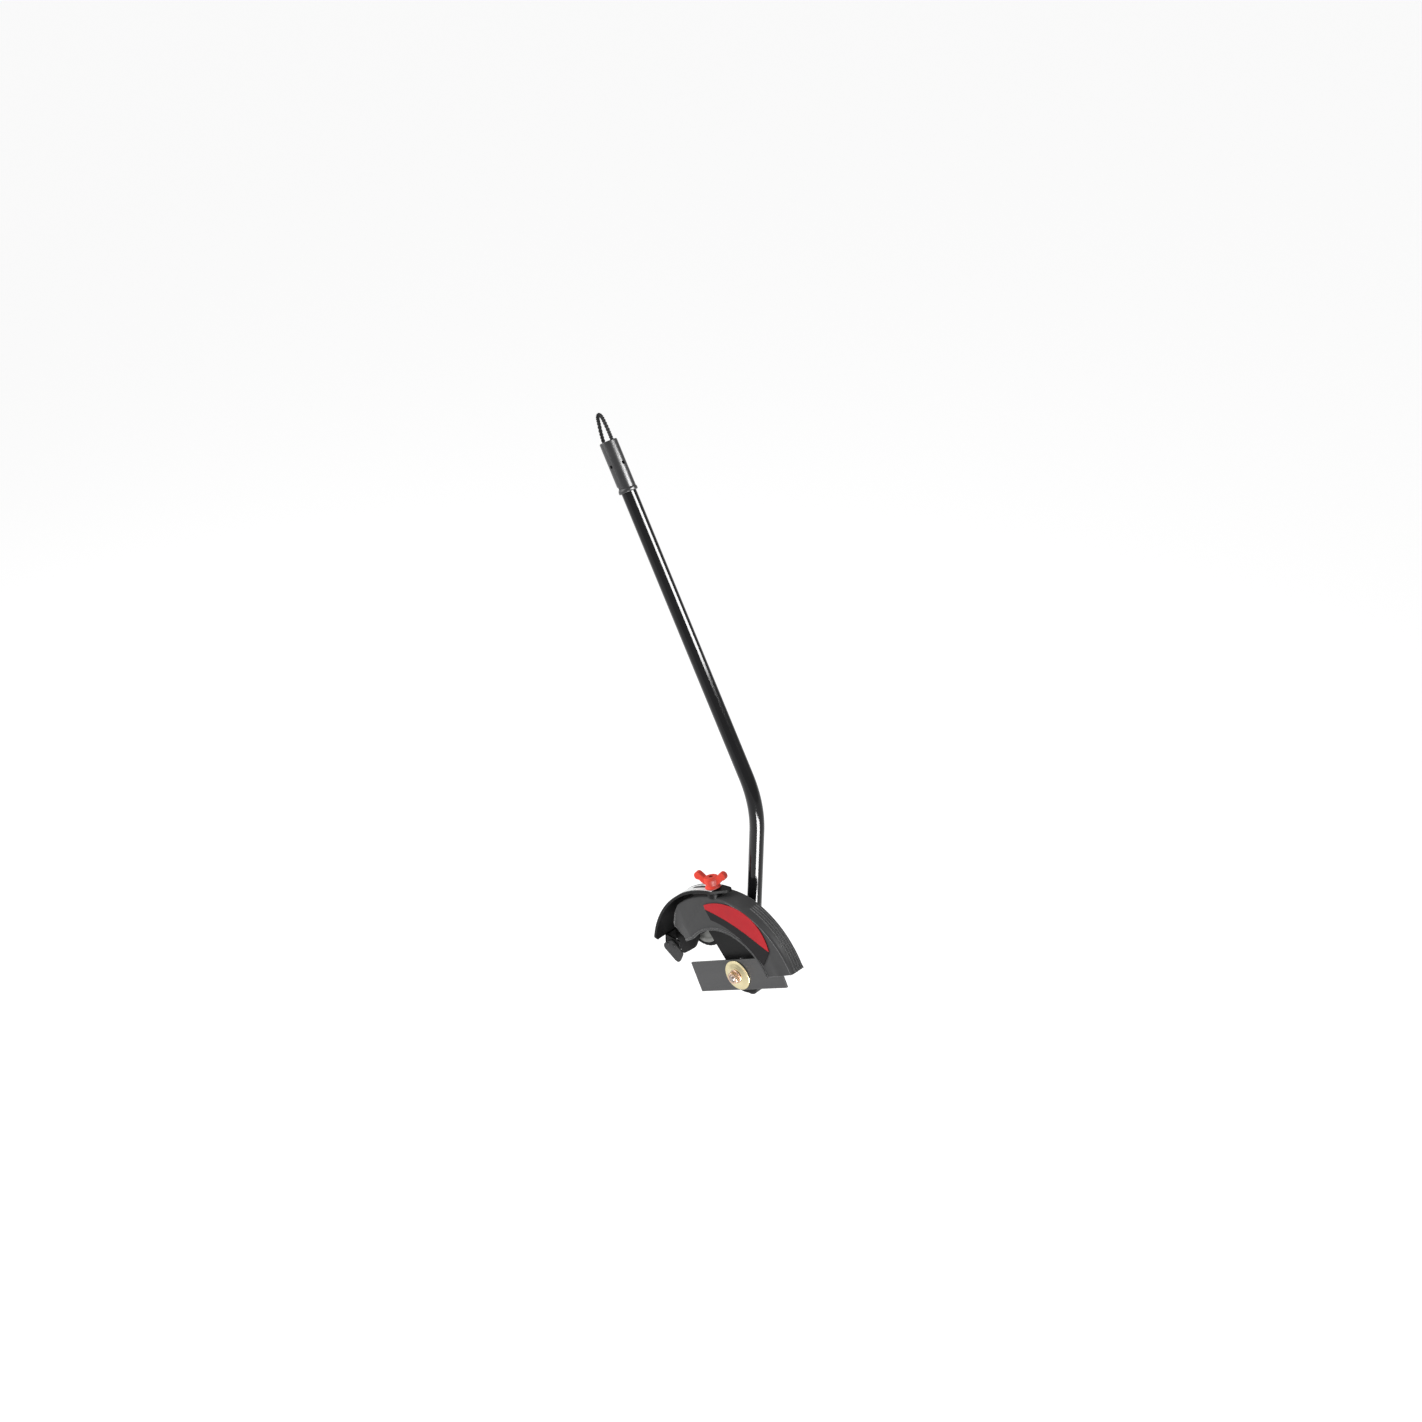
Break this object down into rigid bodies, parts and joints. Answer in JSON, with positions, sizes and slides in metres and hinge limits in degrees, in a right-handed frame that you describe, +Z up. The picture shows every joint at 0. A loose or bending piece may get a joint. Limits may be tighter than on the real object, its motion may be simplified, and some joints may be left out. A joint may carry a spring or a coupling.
{
  "type": "powered edger attachment",
  "caption": "Bent-tube drive attachment with a bevel gear head, a flat edging blade under a curved guard, a depth bracket with a guide wheel and a clamp knob, and a hanger cap.",
  "frame": {"origin": "centre of the drive tube's upper end, where the power head's coupler grips it", "axes": "+Z up along the tube's lower part, +X forward, away from the user's side of the bend, -Y out along the blade spindle"},
  "size_m": [0.4381, 0.0905, 0.8699],
  "materials": {
    "black_paint": "gloss black powder coat",
    "liner_plastic": "natural nylon",
    "steel": "zinc-plated steel",
    "brass": "bronze-coloured metal",
    "cap_plastic": "satin moulded plastic",
    "loop_cover": "black vinyl-covered twisted wire",
    "cast_black": "black painted casting",
    "rubber": "black rubber",
    "blade_steel": "dark satin steel",
    "yellow_zinc": "yellow zinc plating",
    "guard_plastic": "textured dark grey plastic",
    "badge": "two-tone red and black badge",
    "bracket_plastic": "black moulded plastic",
    "scale_silver": "silver scale plate",
    "rim_plastic": "light grey wheel",
    "tyre": "black rubber tyre",
    "red_plastic": "red-orange moulded plastic"
  },
  "bodies": {
    "frame": {"drive_tube": "black_paint", "core_liner": "liner_plastic", "flex_core_bend": "steel", "upper_bushing": "brass", "gear_housing": "cast_black", "grease_plug": "steel", "gearbox_cover": "cast_black", "cover_screw_1": "steel", "cover_screw_2": "steel", "cover_screw_3": "steel", "tube_clamp_screw_1": "steel", "tube_clamp_screw_2": "steel", "input_bearing_lower": "steel", "input_bearing_upper": "steel", "input_retaining_ring": "steel", "spindle_bearing_front": "steel", "spindle_bearing_rear": "steel", "spindle_seal": "rubber", "guard_shell": "guard_plastic", "guard_screw_1": "steel", "guard_screw_2": "steel", "guard_screw_3": "steel", "badge_plate": "badge", "clamp_bolt": "steel", "knob_washer": "steel"},
    "blade_drive": {"blade_spindle": "steel", "bevel_gear": "steel", "inner_flange": "steel", "edger_blade": "blade_steel", "cup_washer": "yellow_zinc", "blade_nut": "brass"},
    "input_drive": {"input_pinion": "steel", "flex_core_lower": "steel"},
    "upper_drive": {"flex_core_upper": "steel", "drive_tip": "steel"},
    "hanger": {"hanger_cap": "cap_plastic", "hanger_loop": "loop_cover"},
    "depth_arm": {"depth_bracket": "bracket_plastic", "depth_scale_plate": "scale_silver", "debris_flap": "rubber", "flap_rivet_1": "cast_black", "flap_rivet_2": "cast_black", "wheel_axle_bolt": "steel", "wheel_spacer": "steel", "wheel_washer": "steel", "wheel_lock_nut": "steel"},
    "guide_wheel": {"wheel_rim": "rim_plastic", "wheel_tyre": "tyre"},
    "knob": {"wing_knob": "red_plastic", "knob_insert": "brass"}
  },
  "joints": [
    {"name": "blade_spin", "type": "hinge", "parent": "frame", "child": "blade_drive", "pos_m": [0.28719, 0, -0.74949], "axis": [0, 1, 0], "continuous": true},
    {"name": "input_spin", "type": "hinge", "parent": "frame", "child": "input_drive", "pos_m": [0.28719, 0, -0.74949], "axis": [0, 0, 1], "continuous": true},
    {"name": "upper_spin", "type": "hinge", "parent": "frame", "child": "upper_drive", "pos_m": [0, 0, 0], "axis": [-0.527, 0, 0.8499], "continuous": true},
    {"name": "depth_adjust", "type": "hinge", "parent": "frame", "child": "depth_arm", "pos_m": [0.28719, 0, -0.74949], "axis": [0, 1, 0], "range_deg": [0, 15]},
    {"name": "wheel_spin", "type": "hinge", "parent": "depth_arm", "child": "guide_wheel", "pos_m": [0.19119, 0.0035, -0.71549], "axis": [0, 1, 0], "continuous": true},
    {"name": "knob_turn", "type": "hinge", "parent": "frame", "child": "knob", "pos_m": [0.2442, -0.045, -0.6042], "axis": [-0.284, 0, 0.9588], "range_deg": [0, 360]},
    {"name": "hanger_pull", "type": "slide", "parent": "frame", "child": "hanger", "axis": [-0.527, 0, 0.8499], "range_m": [0, 0.09]}
  ],
  "couplings": [
    {"joint": "input_spin", "follows": "blade_spin", "ratio": -1.3571},
    {"joint": "upper_spin", "follows": "blade_spin", "ratio": -1.3571}
  ]
}
